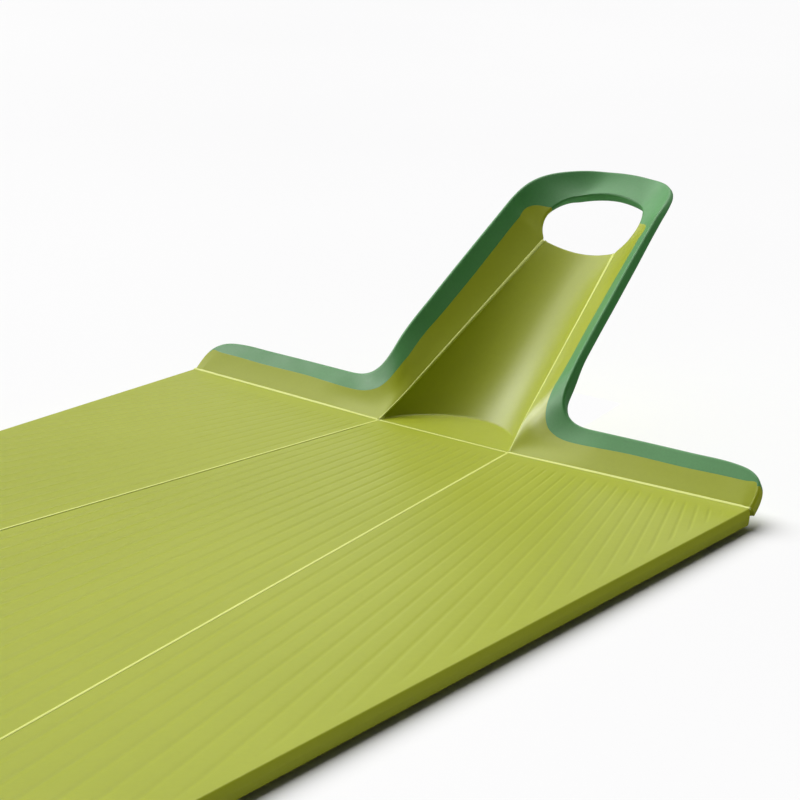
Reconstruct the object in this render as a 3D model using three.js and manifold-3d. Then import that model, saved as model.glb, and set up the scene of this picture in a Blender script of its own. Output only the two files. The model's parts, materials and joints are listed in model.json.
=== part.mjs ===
// A folding cutting board, lying open and flat.
// Three ribbed board panels are joined by living hinges. A raised channel handle grows out of the
// back edge: two narrow base strips, two flared wings, and a scoop between the wings. Squeezing the
// handle folds the outer panels up into a chute. A soft grip band runs round the handle's rim.
//
// The board is first laid out in a "crease frame": X to the right, Y towards the handle, Z up, with
// the origin in the middle of the cross crease, on the board's top face. A group then moves it so
// that the origin is at the bottom centre of the whole object.
//
// The handle is laid out in its own tilted plane: x across, a along the handle, n normal to it.
import * as THREE from 'three';
import { mergeVertices } from 'three/addons/utils/BufferGeometryUtils.js';
import Module from 'manifold-3d';

// ---------------------------------------------------------------- driving dimensions, millimetres
const HALF_WIDTH = 105; // where the cross crease has run back by SWEEP_Y
const EDGE_X = 105.75; // half of the board's width
const FRONT_Y = -276; // the front edge, from the cross crease
const CORNER_R = 10; // front corners of the board
const PANEL_T = 4.85; // board panel thickness
const EDGE_CHAMFER = 0.95; // top edge of the board
const VERTEX_X = 24.64; // where the fold lines meet the cross crease
const FOLD_DEG = 6.835; // fold lines open towards the front by this angle, each
const SWEEP_Y = 4.0; // how far the cross crease runs back at the board's sides
const TILT_DEG = 32.63; // the handle's plane above the board
const SHELL_T = 2.6; // wall of the handle
const LOBE_EXTRA = 2.0; // the base strips are this much thicker at their outer ends
const HINGE_GAP = 0.85; // from a hinge axis to the edges on each side of it
const AXIS_DROP = 0.3; // hinge axes lie this far below the top face
const WEB_R = 0.45; // living hinge bead
const CLEAR = 0.3; // gap between separate pieces
const LIP_T = 0.8; // tongue of the shell inside the grip band
const FOOT_H = 1.65; // feet below the panels
const FOOT_R = 5.0;
const FOOT_STEM_R = 3.2;
const FOOT_STEM_H = 1.5;
const SCOOP_D0 = 13.5; // scoop depth at the cross crease
const SCOOP_SLOPE = 0.1257; // how fast the scoop gets shallower along the handle
const HOLE_A = 87.2; // where the hang hole cuts the handle creases
const ORIGIN_Y = 85.757; // crease frame to part frame
const ORIGIN_Z = PANEL_T + FOOT_H;

const LIME = { color: 0xa3ad36, roughness: 0.42, metalness: 0 };
const WEB = { color: 0xcdd873, roughness: 0.45, metalness: 0 };
const GREEN = { color: 0x3f7f45, roughness: 0.6, metalness: 0 };

// ---------------------------------------------------------------- small helpers
const rad = THREE.MathUtils.degToRad;
const TB = Math.tan(rad(FOLD_DEG));
const CT = Math.cos(rad(TILT_DEG));
const ST = Math.sin(rad(TILT_DEG));
const v3 = (x, y, z) => new THREE.Vector3(x, y, z);

// Handle plane to crease frame.
const plane = ([x, a, n]) => v3(x, a * CT - n * ST, a * ST + n * CT);
// The creases, in handle plane coordinates.
const sideCrease = (x) => {
  const y = (SWEEP_Y * (x - VERTEX_X)) / (HALF_WIDTH - VERTEX_X);
  return [x, y * CT, -y * ST];
};
const handleCrease = (a) => [VERTEX_X - a * TB, a, 0];

const wasm = await Module();
wasm.setup();

function geometryOf(points, faces) {
  const g = new THREE.BufferGeometry();
  g.setAttribute('position', new THREE.Float32BufferAttribute(points.flatMap((p) => [p.x, p.y, p.z]), 3));
  g.setIndex(faces.flat());
  let volume = 0;
  const c = v3(0, 0, 0);
  for (const [i, j, k] of faces) volume += points[i].dot(c.crossVectors(points[j], points[k]));
  if (volume < 0) g.setIndex(faces.flatMap(([i, j, k]) => [i, k, j]));
  return g;
}

// A closed solid through a row of loops with the same number of points. `shape` is one loop's outline
// in two dimensions, used for the end faces.
function loft(loops, shape) {
  const m = loops[0].length;
  const points = loops.flat();
  const faces = [];
  for (let s = 0; s + 1 < loops.length; s++)
    for (let i = 0; i < m; i++) {
      const j = (i + 1) % m;
      const [p, q, r, t] = [s * m + i, s * m + j, (s + 1) * m + j, (s + 1) * m + i];
      faces.push([p, q, r], [p, r, t]);
    }
  const outline = shape.map(([u, w]) => new THREE.Vector2(u, w));
  const cap = THREE.ShapeUtils.triangulateShape(outline, []);
  const turned = THREE.ShapeUtils.isClockWise(outline);
  const last = (loops.length - 1) * m;
  for (const [i, j, k] of cap) {
    const [a, b, c] = turned ? [i, k, j] : [i, j, k];
    faces.push([a, c, b], [last + a, last + b, last + c]);
  }
  return geometryOf(points, faces);
}

// A closed sheet from a grid of top points and a grid of bottom points.
function sheet(top, bottom) {
  const rows = top.length;
  const cols = top[0].length;
  const n = rows * cols;
  const points = [...top.flat(), ...bottom.flat()];
  const faces = [];
  const quad = (p, q, r, t) => faces.push([p, q, r], [p, r, t]);
  for (let r = 0; r + 1 < rows; r++)
    for (let c = 0; c + 1 < cols; c++) {
      const p = r * cols + c;
      quad(p, p + 1, p + cols + 1, p + cols);
      quad(n + p, n + p + cols, n + p + cols + 1, n + p + 1);
    }
  for (let c = 0; c + 1 < cols; c++) {
    quad(c + 1, c, n + c, n + c + 1);
    const p = (rows - 1) * cols + c;
    quad(p, p + 1, n + p + 1, n + p);
  }
  for (let r = 0; r + 1 < rows; r++) {
    const p = r * cols;
    quad(p, p + cols, n + p + cols, n + p);
    const q = p + cols - 1;
    quad(q + cols, q, n + q, n + q + cols);
  }
  return geometryOf(points, faces);
}

function solidOf(geometry) {
  const g = geometry.clone();
  for (const name of Object.keys(g.attributes)) if (name !== 'position') g.deleteAttribute(name);
  const m = mergeVertices(g, 1e-4);
  return new wasm.Manifold(
    new wasm.Mesh({
      numProp: 3,
      vertProperties: new Float32Array(m.attributes.position.array),
      triVerts: new Uint32Array(m.index.array),
    }),
  );
}

function geometryOfSolid(solid) {
  const mesh = solid.getMesh();
  const g = new THREE.BufferGeometry();
  g.setAttribute('position', new THREE.BufferAttribute(new Float32Array(mesh.vertProperties), 3));
  g.setIndex([...mesh.triVerts]);
  return g;
}

// The same piece on the left side.
function mirrored(geometry) {
  const g = geometry.clone();
  const p = g.attributes.position;
  for (let i = 0; i < p.count; i++) p.setX(i, -p.getX(i));
  const t = [...g.index.array];
  for (let i = 0; i < t.length; i += 3) [t[i + 1], t[i + 2]] = [t[i + 2], t[i + 1]];
  g.setIndex(t);
  return g;
}

const board = new THREE.Group();
board.position.set(0, ORIGIN_Y, ORIGIN_Z);
function add(name, geometry, finish) {
  const g = geometry.index ? geometry.toNonIndexed() : geometry;
  g.computeVertexNormals();
  const mesh = new THREE.Mesh(g, new THREE.MeshStandardMaterial(finish));
  mesh.name = name;
  board.add(mesh);
  return mesh;
}
function pair(name, geometry, finish) {
  add(`right_${name}`, geometry, finish);
  add(`left_${name}`, mirrored(geometry), finish);
}

// ---------------------------------------------------------------- board panels
// A panel is a convex outline of edges. Each edge is a point, a direction with the panel on its left,
// and a kind: an outer edge has a top chamfer, a hinge edge slopes away from its hinge.
const LEVELS = [
  { z: -PANEL_T, outer: 0.6, hinge: 1.8 },
  { z: -PANEL_T + 0.6, outer: 0, hinge: 1.7 },
  { z: -2.4, outer: 0, hinge: 1.3 },
  { z: -0.42, outer: 0.5, hinge: HINGE_GAP },
  { z: 0, outer: EDGE_CHAMFER, hinge: HINGE_GAP },
];

function panelGeometry(edges, feet) {
  const loops = LEVELS.map((level) => {
    const lines = edges.map(({ p, d, kind }) => {
      const inset = level[kind];
      return { p: [p[0] - d[1] * inset, p[1] + d[0] * inset], d };
    });
    return lines.map((b, i) => {
      const a = lines[(i + lines.length - 1) % lines.length];
      const det = a.d[0] * b.d[1] - a.d[1] * b.d[0];
      const s = ((b.p[0] - a.p[0]) * b.d[1] - (b.p[1] - a.p[1]) * b.d[0]) / det;
      return v3(a.p[0] + a.d[0] * s, a.p[1] + a.d[1] * s, level.z);
    });
  });
  let solid = solidOf(loft(loops, loops[0].map((p) => [p.x, p.y])));
  // Blind sockets for the stems of the feet.
  for (const [x, y] of feet) {
    const h = FOOT_STEM_H + CLEAR + 1;
    const socket = new THREE.CylinderGeometry(FOOT_STEM_R + CLEAR, FOOT_STEM_R + CLEAR, h, 16);
    socket.rotateX(Math.PI / 2);
    socket.translate(x, y, -PANEL_T - 1 + h / 2);
    solid = solid.subtract(solidOf(socket));
  }
  return geometryOfSolid(solid);
}

const unit = ([x, y]) => {
  const l = Math.hypot(x, y);
  return [x / l, y / l];
};
const FOLD_DIR = unit([TB, -1]); // right fold line, towards the front
const frontFoldX = VERTEX_X - FRONT_Y * TB;
const backDir = unit([HALF_WIDTH - VERTEX_X, SWEEP_Y]); // right cross crease, outwards

const CENTRE_FEET = [
  [-13, -16],
  [13, -16],
  [-44, -262],
  [44, -262],
];
const SIDE_FEET = [
  [93, -10],
  [93, -136],
  [90, -260],
];

add(
  'centre_panel',
  panelGeometry(
    [
      { p: [-VERTEX_X, 0], d: [-FOLD_DIR[0], FOLD_DIR[1]], kind: 'hinge' },
      { p: [0, FRONT_Y], d: [1, 0], kind: 'outer' },
      { p: [VERTEX_X, 0], d: [-FOLD_DIR[0], -FOLD_DIR[1]], kind: 'hinge' },
      { p: [0, 0], d: [-1, 0], kind: 'hinge' },
    ],
    CENTRE_FEET,
  ),
  LIME,
);

const roundCorner = [];
for (let i = 1; i <= 5; i++) {
  const t = rad(-90 + (i * 90) / 6);
  roundCorner.push({
    p: [EDGE_X - CORNER_R + CORNER_R * Math.cos(t), FRONT_Y + CORNER_R + CORNER_R * Math.sin(t)],
    d: [-Math.sin(t), Math.cos(t)],
    kind: 'outer',
  });
}
pair(
  'panel',
  panelGeometry(
    [
      { p: [VERTEX_X, 0], d: FOLD_DIR, kind: 'hinge' },
      { p: [frontFoldX, FRONT_Y], d: [1, 0], kind: 'outer' },
      ...roundCorner,
      { p: [EDGE_X, 0], d: [0, 1], kind: 'outer' },
      { p: [VERTEX_X, 0], d: [-backDir[0], -backDir[1]], kind: 'hinge' },
    ],
    SIDE_FEET,
  ),
  LIME,
);

// ---------------------------------------------------------------- feet
const footProfile = [
  [0, -PANEL_T - FOOT_H],
  [FOOT_R - 1.4, -PANEL_T - FOOT_H],
  [FOOT_R - 0.4, -PANEL_T - FOOT_H + 0.5],
  [FOOT_R, -PANEL_T - FOOT_H + 1.2],
  [FOOT_R, -PANEL_T - CLEAR],
  [FOOT_STEM_R, -PANEL_T - CLEAR],
  [FOOT_STEM_R, -PANEL_T + FOOT_STEM_H - CLEAR],
  [0, -PANEL_T + FOOT_STEM_H - CLEAR],
].map(([r, z]) => new THREE.Vector2(r, z));
function foot(name, x, y) {
  const g = new THREE.LatheGeometry(footProfile, 18);
  g.rotateX(Math.PI / 2);
  // The lathe turned about Y now stands along Z.
  g.translate(x, y, 0);
  const merged = geometryOfSolid(solidOf(g));
  add(name, merged, GREEN);
}
foot('centre_foot_back_left', ...CENTRE_FEET[0]);
foot('centre_foot_back_right', ...CENTRE_FEET[1]);
foot('centre_foot_front_left', ...CENTRE_FEET[2]);
foot('centre_foot_front_right', ...CENTRE_FEET[3]);
['back', 'middle', 'front'].forEach((place, i) => {
  const [x, y] = SIDE_FEET[i];
  foot(`right_foot_${place}`, x, y);
  foot(`left_foot_${place}`, -x, y);
});

// ---------------------------------------------------------------- living hinges
function web(from, to) {
  const g = new THREE.CylinderGeometry(WEB_R, WEB_R, from.distanceTo(to), 8);
  const turn = new THREE.Quaternion().setFromUnitVectors(v3(0, 1, 0), to.clone().sub(from).normalize());
  g.applyQuaternion(turn);
  const mid = from.clone().add(to).multiplyScalar(0.5);
  g.translate(mid.x, mid.y, mid.z);
  return geometryOfSolid(solidOf(g));
}
const vertex = v3(VERTEX_X, 0, -AXIS_DROP);
const along = (d, s) => vertex.clone().addScaledVector(d, s);
const foldDir3 = v3(FOLD_DIR[0], FOLD_DIR[1], 0);
const backDir3 = v3(backDir[0], backDir[1], 0);
const CB = Math.cos(rad(FOLD_DEG));
const SB = Math.sin(rad(FOLD_DEG));
const handleDir3 = v3(-SB, CB * CT, CB * ST);
const foldLength = -FRONT_Y / CB;
const backLength = Math.hypot(HALF_WIDTH - VERTEX_X, SWEEP_Y);
pair('fold_web', web(along(foldDir3, 1.2), along(foldDir3, foldLength - 1.2)), WEB);
pair('base_web', web(along(backDir3, 1.2), along(backDir3, backLength - 1.0)), WEB);
pair('wing_web', web(along(handleDir3, 1.2), along(handleDir3, HOLE_A / CB - 0.8)), WEB);
add('scoop_web', web(v3(-VERTEX_X + 1.2, 0, -AXIS_DROP), v3(VERTEX_X - 1.2, 0, -AXIS_DROP)), WEB);

// ---------------------------------------------------------------- handle rim: stations of the shell
// Each station is a straight ruling from the crease (or the hole's edge) to the rim, in handle plane
// coordinates. `band` is the part of it, from the crease, where the soft grip band starts. `edge` is
// how far the shell stays clear of the crease, on its top face and on its underside. `rim` is the
// height of the outer wall, greatest round the concave corner.
const HINGE_EDGE = [HINGE_GAP, 2.3];
const BASE_EDGE = [HINGE_GAP, 1.6];
const FREE_EDGE = [0.0, 0.3];
const st = (from, to, band, edge = HINGE_EDGE, rim = SHELL_T) => ({ from, to, band, edge, rim });
const BASE = [
  st(sideCrease(104.9), [105.35, 6.6, -2.1], 1.0, BASE_EDGE),
  st(sideCrease(104.7), [105.35, 9.3, -1.75], 1.0, BASE_EDGE),
  st(sideCrease(104.3), [104.75, 11.8, -1.3], 1.0, BASE_EDGE),
  st(sideCrease(104.2), [104.5, 12.2, -1.25], 0.74, BASE_EDGE),
  st(sideCrease(103.2), [102.6, 14.3, -0.75], 0.71, BASE_EDGE),
  st(sideCrease(101.1), [99.3, 15.9, -0.35], 0.67, BASE_EDGE),
  st(sideCrease(97.5), [95.0, 16.5, -0.15], 0.64, BASE_EDGE),
  st(sideCrease(80.0), [79.3, 16.4, 0.15], 0.605, BASE_EDGE),
  st(sideCrease(62.0), [62.0, 16.1, 0.4], 0.615, BASE_EDGE),
  st(sideCrease(48.0), [49.2, 15.65, 0.75], 0.6, BASE_EDGE),
  st(sideCrease(37.0), [42.7, 15.45, 1.0], 0.615, BASE_EDGE),
  st(sideCrease(30.5), [40.2, 15.65, 1.25], 0.64, BASE_EDGE, 2.9),
  st(sideCrease(25.8), [38.6, 16.15, 1.6], 0.66, BASE_EDGE, 3.4),
];
const BASE_GRIP_FROM = 3;
const WING = [
  st(handleCrease(1.1), [35.4, 18.4, 3.05], 0.66, HINGE_EDGE, 4.6),
  st(handleCrease(3.5), [34.25, 20.2, 4.1], 0.69, HINGE_EDGE, 5.0),
  st(handleCrease(8.0), [33.2, 23.8, 5.5], 0.7, HINGE_EDGE, 4.8),
  st(handleCrease(15.0), [32.7, 28.2, 6.7], 0.655, HINGE_EDGE, 3.8),
  st(handleCrease(24.0), [31.95, 34.3, 7.7], 0.645, HINGE_EDGE, 3.1),
  st(handleCrease(38.0), [30.77, 46.6, 8.43], 0.62, HINGE_EDGE, 3.1),
  st(handleCrease(54.0), [29.68, 60.4, 9.07], 0.61, HINGE_EDGE, 3.1),
  st(handleCrease(71.0), [28.39, 75.5, 9.73], 0.63, HINGE_EDGE, 3.1),
  st(handleCrease(86.0), [27.42, 88.9, 10.11], 0.65, HINGE_EDGE, 2.8),
  st([15.6, 90.4, 1.25], [27.08, 93.4, 10.27], 0.62, FREE_EDGE, 2.7),
  st([16.65, 94.6, 2.1], [26.55, 97.6, 10.17], 0.48, FREE_EDGE),
  st([16.7, 97.0, 2.3], [26.3, 100.2, 9.87], 0.28, FREE_EDGE),
];
const ARCH = [
  st([16.65, 97.4, 2.3], [26.2, 100.65, 9.79], 0, FREE_EDGE),
  st([16.35, 99.6, 2.2], [25.7, 103.6, 9.15], 0, FREE_EDGE),
  st([15.1, 103.4, 1.75], [23.85, 109.6, 7.1], 0, FREE_EDGE),
  st([13.4, 106.5, 1.0], [19.6, 115.9, 4.0], 0, FREE_EDGE),
  st([12.0, 108.5, 0.25], [10.65, 121.9, 0.4], 0, FREE_EDGE),
];
const ARCH_CENTRE = [
  st([10.95, 109.4, 0], [9.35, 122.2, 0.1], 0, FREE_EDGE),
  st([6.0, 111.2, 0], [5.4, 122.95, -0.1], 0, FREE_EDGE),
  st([0, 112.0, 0], [0, 123.3, -0.2], 0, FREE_EDGE),
];
// The flexible corner between a base strip and a wing fills the wedge between their end rulings.
const mix = (a, b, t) => a.map((v, i) => v + (b[i] - v) * t);
const corner = (t) => {
  const a = BASE[BASE.length - 1];
  const b = WING[0];
  const along = (key) => a[key] + (b[key] - a[key]) * t;
  return st(mix(a.from, b.from, t), mix(a.to, b.to, t), along('band'), [1.1, 2.5], along('rim'));
};
const CORNER = [corner(0.26), corner(0.5), corner(0.74)];

// Section outlines. Each takes the ruling's length, the band's start, the edge clearances and the
// walls beside the crease and at the rim, and gives points as [distance along the ruling, height above
// the top face].
function coreSection(length, band, edge, wall) {
  const b = band - CLEAR / 2;
  const tip = b + Math.max(0.3, 0.5 * (length - band));
  const mid = -SHELL_T / 2;
  const outer = band < length ? SHELL_T : wall - 0.8;
  return [
    [edge[0], -0.35],
    [edge[0] + 0.3, 0],
    [edge[0] + (b - edge[0]) * 0.5, 0],
    [b - 0.3, 0],
    [b, -0.2],
    [b, mid + LIP_T / 2],
    [tip, mid + LIP_T / 2],
    [tip, mid - LIP_T / 2],
    [b, mid - LIP_T / 2],
    [b, -outer],
    [edge[1] + (b - edge[1]) * 0.6, -(outer + wall) / 2],
    [edge[1], -wall],
  ];
}
function gripSection(length, band, edge, wall, rim) {
  const b = band + CLEAR / 2;
  const tip = band - CLEAR / 2 + Math.max(0.3, 0.5 * (length - band)) + CLEAR;
  const mid = -SHELL_T / 2;
  const s = LIP_T / 2 + CLEAR;
  return [
    [b, -0.05],
    [(b + length - 1.0) / 2, 0],
    [length - 1.0, 0],
    [length - 0.3, -0.38],
    [length, -1.0],
    [length - 0.3, -rim + 0.6],
    [length - 1.5, -rim],
    [Math.min(b, length - 1.9), -SHELL_T],
    [b, mid - s],
    [tip, mid - s],
    [tip, mid + s],
    [b, mid + s],
  ];
}
function archSection(length) {
  const mid = -SHELL_T / 2;
  return [
    [0.8, 0],
    [length / 2, 0],
    [length - 1.0, 0],
    [length - 0.3, -0.38],
    [length, mid + 0.3],
    [length - 0.6, -SHELL_T + 0.6],
    [length - 1.7, -SHELL_T],
    [length / 2, -SHELL_T],
    [0.8, -SHELL_T],
    [0.2, -SHELL_T + 0.5],
    [0, mid],
    [0.2, -0.5],
  ];
}

// Surface normal of a row of rulings at station i, from its neighbours, at a little over half way out.
function stationNormal(row, i) {
  const at = (s) => v3(...mix(s.from, s.to, 0.6));
  const before = row[Math.max(0, i - 1)];
  const after = row[Math.min(row.length - 1, i + 1)];
  const alongRow = at(after).sub(at(before));
  const across = v3(...row[i].to).sub(v3(...row[i].from));
  const n = alongRow.cross(across).normalize();
  return n.z < 0 ? n.negate() : n;
}
function strip(row, section, whole = row) {
  let shape;
  const loops = row.map((s) => {
    const from = v3(...s.from);
    const dir = v3(...s.to).sub(from);
    const length = dir.length();
    dir.normalize();
    const normal = stationNormal(whole, whole.indexOf(s));
    normal.addScaledVector(dir, -normal.dot(dir)).normalize();
    const outwards = THREE.MathUtils.clamp((s.from[0] - 40) / 60, 0, 1);
    shape = section(length, s.band * length, s.edge, SHELL_T + LOBE_EXTRA * outwards, s.rim);
    return shape.map(([u, w]) => {
      const p = from.clone().addScaledVector(dir, u).addScaledVector(normal, w);
      return plane([p.x, p.y, p.z]);
    });
  });
  return loft(loops, shape);
}

const fullRow = [...BASE, ...CORNER, ...WING, ...ARCH, ...ARCH_CENTRE];
pair('base', strip(BASE, coreSection, fullRow), LIME);
pair('base_grip', strip(BASE.slice(BASE_GRIP_FROM), gripSection, fullRow), GREEN);
pair('corner_flex', strip(CORNER, coreSection, fullRow), LIME);
pair('corner_grip', strip(CORNER, gripSection, fullRow), GREEN);
pair('wing', strip(WING, coreSection, fullRow), LIME);
pair('wing_grip', strip(WING, gripSection, fullRow), GREEN);
pair('arch_grip', strip(ARCH, archSection, fullRow), GREEN);
const archCentre = [
  ...ARCH_CENTRE,
  ...ARCH_CENTRE.slice(0, -1)
    .reverse()
    .map((s) => st([-s.from[0], s.from[1], s.from[2]], [-s.to[0], s.to[1], s.to[2]], 0, FREE_EDGE)),
];
add('arch_centre_grip', strip(archCentre, archSection), GREEN);

// ---------------------------------------------------------------- scoop
// The floor of the handle between its creases: a flat half-moon, level with the board, and a trough
// that rises from the half-moon's curved edge to the hang hole and gets shallower on the way.
const halfWidthAt = (a) => VERTEX_X - a * TB;
const depthAt = (a) => SCOOP_D0 - SCOOP_SLOPE * a;
const troughAt = (q, a) => {
  const t = Math.min(1, Math.max(0, a / HOLE_A));
  return -depthAt(a) * Math.pow(Math.max(0, 1 - q * q), 0.56 + 0.44 * t);
};
// Distance along the handle of the half-moon's curved edge.
function moonAt(q) {
  let lo = 0;
  let hi = 40;
  for (let i = 0; i < 50; i++) {
    const a = (lo + hi) / 2;
    if ((-a * ST) / CT > troughAt(q, a)) lo = a;
    else hi = a;
  }
  return lo;
}
// The edge of the trough keeps clear of the crease's axis.
function edgeAt(a) {
  let lo = 0.8;
  let hi = 1;
  const w = halfWidthAt(a);
  for (let i = 0; i < 50; i++) {
    const q = (lo + hi) / 2;
    if (Math.hypot(w * (1 - q), troughAt(q, a) + AXIS_DROP * CT) > HINGE_GAP + 0.1) lo = q;
    else hi = q;
  }
  return lo;
}
const ACROSS = 20;
const top = [];
const spread = (i) => Math.sin(((i / ACROSS) * 2 - 1) * 1.38) / Math.sin(1.38);
// Flat floor, from the cross crease to the curved edge.
const FLOOR_ROWS = 4;
const TROUGH_ROWS = 9;
for (let r = 0; r <= FLOOR_ROWS; r++) {
  const row = [];
  for (let i = 0; i <= ACROSS; i++) {
    const q0 = spread(i) * 0.985;
    const edge = moonAt(q0);
    const start = HINGE_GAP / CT;
    const a = start + ((edge - start) * r) / FLOOR_ROWS;
    row.push([q0 * halfWidthAt(a), a, (-a * ST) / CT]);
  }
  top.push(row);
}
for (let r = 1; r <= TROUGH_ROWS; r++) {
  const row = [];
  for (let i = 0; i <= ACROSS; i++) {
    const q0 = spread(i) * 0.985;
    const a0 = moonAt(q0);
    const end = HOLE_A - 0.5 * (1 - q0 * q0);
    const a = a0 + (end - a0) * Math.pow(r / TROUGH_ROWS, 1.15);
    const q = spread(i) * Math.min(0.985, edgeAt(a));
    row.push([q * halfWidthAt(a), a, troughAt(q, a)]);
  }
  top.push(row);
}
// Underside: the top offset along its own normals, thinner beside the creases.
const under = top.map((row, r) =>
  row.map((p, c) => {
    const pick = (rr, cc) => v3(...top[Math.min(top.length - 1, Math.max(0, rr))][Math.min(ACROSS, Math.max(0, cc))]);
    const n = pick(r, c + 1).sub(pick(r, c - 1)).cross(pick(r + 1, c).sub(pick(r - 1, c))).normalize();
    if (n.z < 0) n.negate();
    const side = Math.min(c, ACROSS - c);
    let t = SHELL_T * (side === 0 ? 0.3 : side === 1 ? 0.7 : 1);
    if (r === 0) t *= 0.9;
    const shift = r === 0 ? 1.4 : 0;
    return [p[0] - n.x * t, p[1] - n.y * t + shift * CT, p[2] - n.z * t - shift * ST];
  }),
);
add('handle_scoop', sheet(top.map((r) => r.map(plane)), under.map((r) => r.map(plane))), LIME);

export default board;
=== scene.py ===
"""Looks of a folding cutting board: ribbed panels, living hinges and a raised channel handle with a soft rim."""

import json
import math

import bpy
import numpy as np
from mathutils import Matrix, Vector

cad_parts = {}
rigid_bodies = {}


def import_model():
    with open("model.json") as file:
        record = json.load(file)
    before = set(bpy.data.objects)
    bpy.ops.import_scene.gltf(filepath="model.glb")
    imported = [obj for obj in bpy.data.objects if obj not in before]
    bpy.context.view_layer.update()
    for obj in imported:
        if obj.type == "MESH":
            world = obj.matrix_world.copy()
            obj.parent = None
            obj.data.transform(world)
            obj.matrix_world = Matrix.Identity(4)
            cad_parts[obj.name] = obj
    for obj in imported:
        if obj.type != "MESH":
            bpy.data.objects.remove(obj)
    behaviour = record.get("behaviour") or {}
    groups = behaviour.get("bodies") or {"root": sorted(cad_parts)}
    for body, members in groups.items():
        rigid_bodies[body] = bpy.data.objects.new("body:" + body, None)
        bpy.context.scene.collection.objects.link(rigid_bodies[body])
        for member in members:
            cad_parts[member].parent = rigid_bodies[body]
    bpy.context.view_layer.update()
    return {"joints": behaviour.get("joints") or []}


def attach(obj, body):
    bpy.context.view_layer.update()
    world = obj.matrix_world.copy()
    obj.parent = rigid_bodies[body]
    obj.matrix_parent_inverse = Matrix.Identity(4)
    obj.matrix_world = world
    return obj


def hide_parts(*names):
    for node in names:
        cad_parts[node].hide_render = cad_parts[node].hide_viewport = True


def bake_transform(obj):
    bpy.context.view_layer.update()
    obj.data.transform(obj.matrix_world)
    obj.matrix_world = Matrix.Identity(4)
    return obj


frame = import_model()

# ------------------------------------------------------------------ dimensions, millimetres
# Laid out in the crease frame: X right, Y to the handle, Z up, origin mid cross crease on the board's top.
# Handle coordinates are (x, a, n): across, along the tilted handle, normal to it.
HALF_W, EDGE_W, FRONT, CORNER_R, THICK = 105.0, 105.75, -276.0, 10.0, 4.85
FOLD, TILT = math.radians(6.835), math.radians(32.63)
SWEEP, SHELL, LOBE, GAP, HOLE_A = 4.0, 2.6, 2.0, 0.42, 87.2
FOOT_H = 2.0
joint = {j["name"]: j for j in frame["joints"]}
VX, OY, OZ = (c * 1000 for c in joint["right_fold"]["pos_m"])
OZ += 0.3
TB, CB, SB = math.tan(FOLD), math.cos(FOLD), math.sin(FOLD)
CT, ST = math.cos(TILT), math.sin(TILT)
APEX = VX / TB
BACK = np.array([HALF_W - VX, SWEEP]) / math.hypot(HALF_W - VX, SWEEP)
HANDLE_DIR = np.array([-SB, CB * CT, CB * ST])


def from_handle(p):
    p = np.asarray(p, float)
    x, a, n = p[..., 0], p[..., 1], p[..., 2]
    return np.stack([x, a * CT - n * ST, a * ST + n * CT], -1)


def to_row(p):
    return (np.asarray(p, float) + [0, OY, OZ]) * 0.001


def smooth(lo, hi, v):
    t = np.clip((np.asarray(v, float) - lo) / (hi - lo), 0, 1)
    return t * t * (3 - 2 * t)


def hermite(x, y, q, monotone):
    x, y, q = (np.asarray(v, float) for v in (x, y, q))
    if y.ndim > 1:
        return np.stack([hermite(x, y[:, i], q, monotone) for i in range(y.shape[1])], 1)
    h = np.diff(x)
    d = np.diff(y) / h
    m = np.zeros_like(y)
    m[0], m[-1] = d[0], d[-1]
    for i in range(1, len(x) - 1):
        if monotone:
            if d[i - 1] * d[i] > 0:
                w1, w2 = 2 * h[i] + h[i - 1], h[i] + 2 * h[i - 1]
                m[i] = (w1 + w2) / (w1 / d[i - 1] + w2 / d[i])
        else:
            m[i] = (h[i - 1] * d[i] + h[i] * d[i - 1]) / (h[i - 1] + h[i])
    k = np.clip(np.searchsorted(x, q) - 1, 0, len(x) - 2)
    t = (q - x[k]) / h[k]
    return (
        (1 + 2 * t) * (1 - t) ** 2 * y[k]
        + t * (1 - t) ** 2 * h[k] * m[k]
        + t * t * (3 - 2 * t) * y[k + 1]
        + t * t * (t - 1) * h[k] * m[k + 1]
    )


def soften(v, sigma):
    """Gaussian smoothing along the first axis; the ends stay where they are."""
    r = int(3 * sigma) + 1
    k = np.exp(-0.5 * (np.arange(-r, r + 1) / sigma) ** 2)
    k /= k.sum()
    flat = np.asarray(v, float).reshape(len(v), -1)
    before = 2 * flat[0] - flat[r:0:-1]
    after = 2 * flat[-1] - flat[-2 : -r - 2 : -1]
    ext = np.concatenate([before, flat, after])
    return np.stack([np.convolve(ext[:, i], k, "valid") for i in range(flat.shape[1])], 1).reshape(np.shape(v))


def unit(v):
    v = np.asarray(v, float)
    return v / np.maximum(np.linalg.norm(v, axis=-1, keepdims=True), 1e-12)


# ------------------------------------------------------------------ materials
def shader(name):
    mat = bpy.data.materials.new(name)
    mat.use_nodes = True
    tree = mat.node_tree
    tree.nodes.clear()
    out = tree.nodes.new("ShaderNodeOutputMaterial")
    bsdf = tree.nodes.new("ShaderNodeBsdfPrincipled")
    tree.links.new(bsdf.outputs["BSDF"], out.inputs["Surface"])
    return mat, tree, bsdf


def noise(tree, coords, scale, detail, stretch=None):
    n = tree.nodes.new("ShaderNodeTexNoise")
    n.inputs["Scale"].default_value = scale
    n.inputs["Detail"].default_value = detail
    if stretch is not None:
        m = tree.nodes.new("ShaderNodeMapping")
        m.inputs["Scale"].default_value = stretch
        tree.links.new(coords, m.inputs["Vector"])
        coords = m.outputs["Vector"]
    tree.links.new(coords, n.inputs["Vector"])
    return n.outputs["Fac"]


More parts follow.
